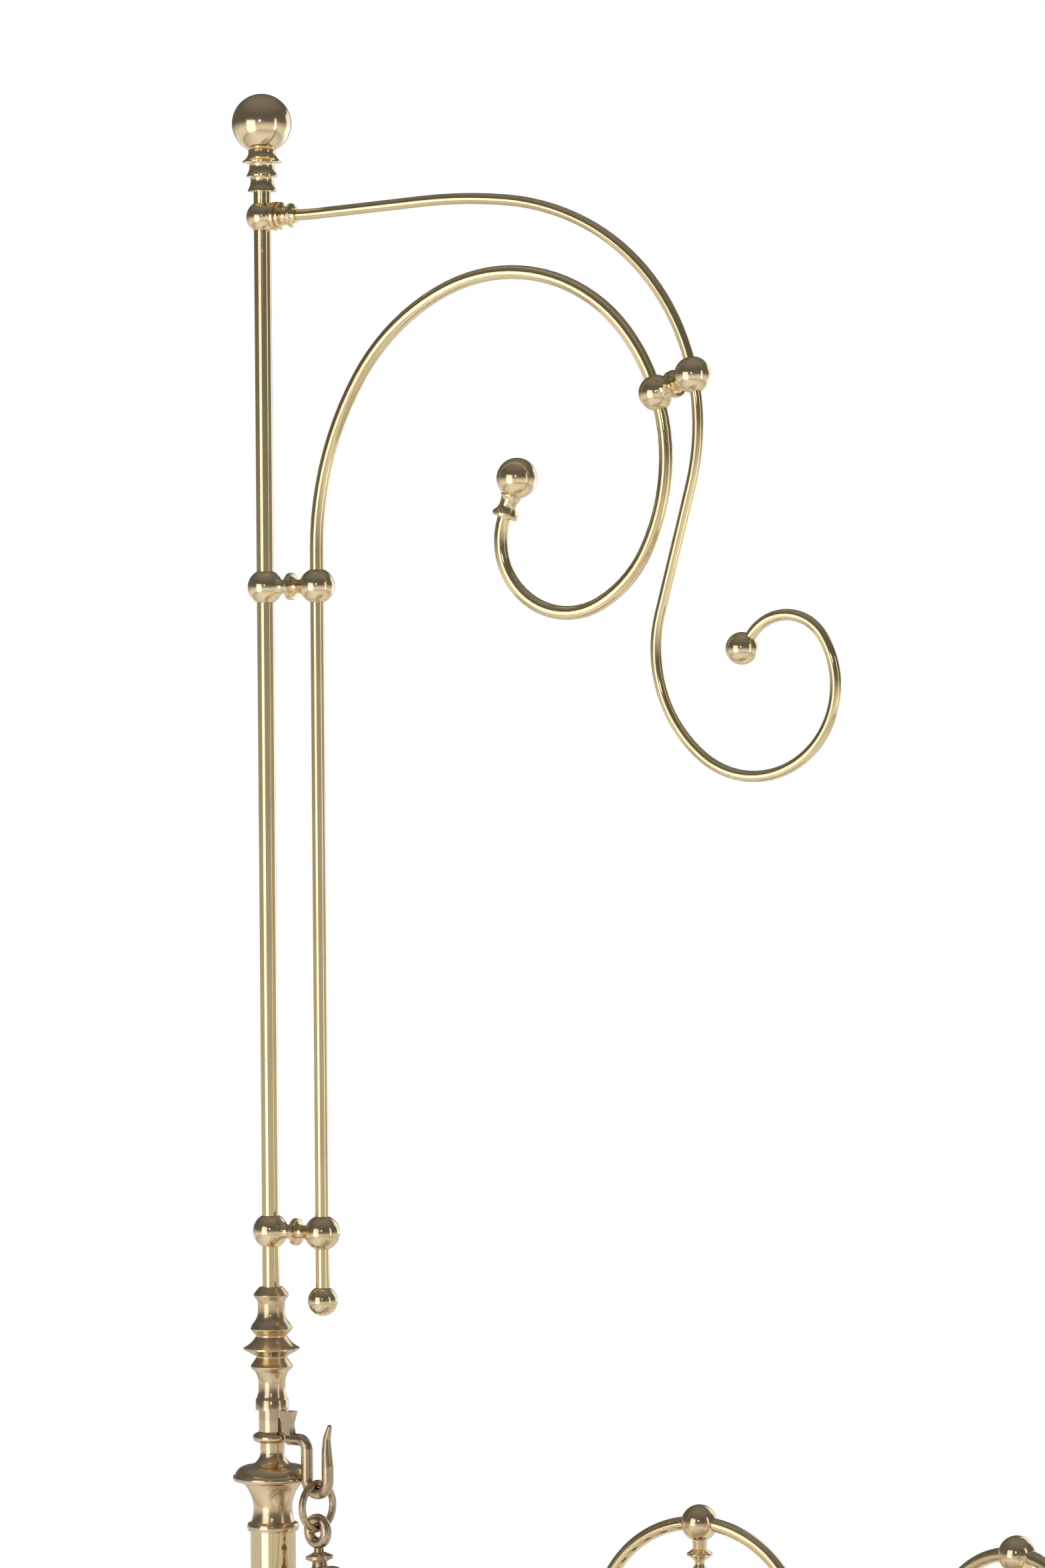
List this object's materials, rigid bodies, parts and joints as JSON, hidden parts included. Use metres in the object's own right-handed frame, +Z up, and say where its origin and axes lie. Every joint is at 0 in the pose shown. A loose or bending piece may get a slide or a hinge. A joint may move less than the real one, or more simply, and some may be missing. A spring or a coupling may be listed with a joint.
{
  "type": "swinging cradle with canopy pole",
  "caption": "Swinging cradle of brass tube: a bow-sided rail basket hung between turned posts on arched feet, with a swivelling canopy pole that ends in scrolls.",
  "frame": {"origin": "on the floor, midway between the two posts", "axes": "+X from the canopy post to the plain post, +Y across the basket, +Z up"},
  "size_m": [1.037, 0.5606, 2.1502],
  "materials": {
    "polished_brass": "polished",
    "cast_brass": "satin",
    "worn_bronze": "worn",
    "lath_brass": "satin",
    "steel": "plain"
  },
  "bodies": {
    "stand": {"post_tube_canopy_end": "polished_brass", "post_cap_canopy_end": "cast_brass", "post_base_canopy_end": "cast_brass", "tie_rod_canopy_end": "steel", "hook_canopy_end": "worn_bronze", "leg_canopy_end_left": "polished_brass", "leg_canopy_end_right": "polished_brass", "foot_canopy_end_left": "cast_brass", "foot_canopy_end_right": "cast_brass", "post_tube_plain_end": "polished_brass", "post_cap_plain_end": "cast_brass", "post_base_plain_end": "cast_brass", "tie_rod_plain_end": "steel", "hook_plain_end": "worn_bronze", "leg_plain_end_left": "polished_brass", "leg_plain_end_right": "polished_brass", "foot_plain_end_left": "cast_brass", "foot_plain_end_right": "cast_brass", "tie_nuts": "steel", "stretcher": "polished_brass", "stretcher_knop": "cast_brass", "canopy_socket": "cast_brass", "plain_finial": "cast_brass"},
    "canopy": {"canopy_pole": "polished_brass", "pole_finial_collar": "polished_brass", "pole_finial_ball": "polished_brass", "arm_collar": "polished_brass", "canopy_arm": "polished_brass", "arm_end_ball": "polished_brass", "scroll_tube": "polished_brass", "scroll_finial": "polished_brass", "scroll_foot_ball": "polished_brass", "low_pole_ball": "polished_brass", "mid_pole_ball": "polished_brass", "low_scroll_ball": "polished_brass", "mid_scroll_ball": "polished_brass", "cross_scroll_ball": "polished_brass", "cross_arm_ball": "polished_brass", "low_spool": "polished_brass", "mid_spool": "polished_brass", "cross_spool": "polished_brass"},
    "ring_canopy_end": {"ring_canopy_end": "worn_bronze"},
    "ring_plain_end": {"ring_plain_end": "worn_bronze"},
    "basket": {"top_rail": "polished_brass", "bottom_rail": "polished_brass", "balusters": "polished_brass", "base_slats": "lath_brass", "side_hoop_1": "polished_brass", "side_hoop_2": "polished_brass", "side_hoop_3": "polished_brass", "side_hoop_4": "polished_brass", "hoop_drop_1": "polished_brass", "hoop_drop_2": "polished_brass", "hoop_drop_3": "polished_brass", "hoop_drop_4": "polished_brass", "end_arch_canopy_end": "polished_brass", "end_arch_plain_end": "polished_brass", "eye_finial_canopy_end": "worn_bronze", "eye_finial_plain_end": "worn_bronze"}
  },
  "joints": [
    {"name": "canopy_swivel", "type": "hinge", "parent": "stand", "child": "canopy", "pos_m": [-0.4815, 0, 1], "axis": [0, 0, 1], "continuous": true},
    {"name": "ring_canopy_swing", "type": "hinge", "parent": "stand", "child": "ring_canopy_end", "pos_m": [-0.4258, 0, 0.858], "axis": [1, 0, 0], "range_deg": [-10, 10]},
    {"name": "ring_plain_swing", "type": "hinge", "parent": "stand", "child": "ring_plain_end", "pos_m": [0.4258, 0, 0.858], "axis": [1, 0, 0], "range_deg": [-10, 10]},
    {"name": "basket_rock", "type": "hinge", "parent": "ring_canopy_end", "child": "basket", "pos_m": [-0.4258, 0, 0.8342], "axis": [1, 0, 0], "range_deg": [-15, 15]}
  ],
  "couplings": [
    {"joint": "ring_plain_swing", "follows": "ring_canopy_swing", "ratio": 1}
  ]
}
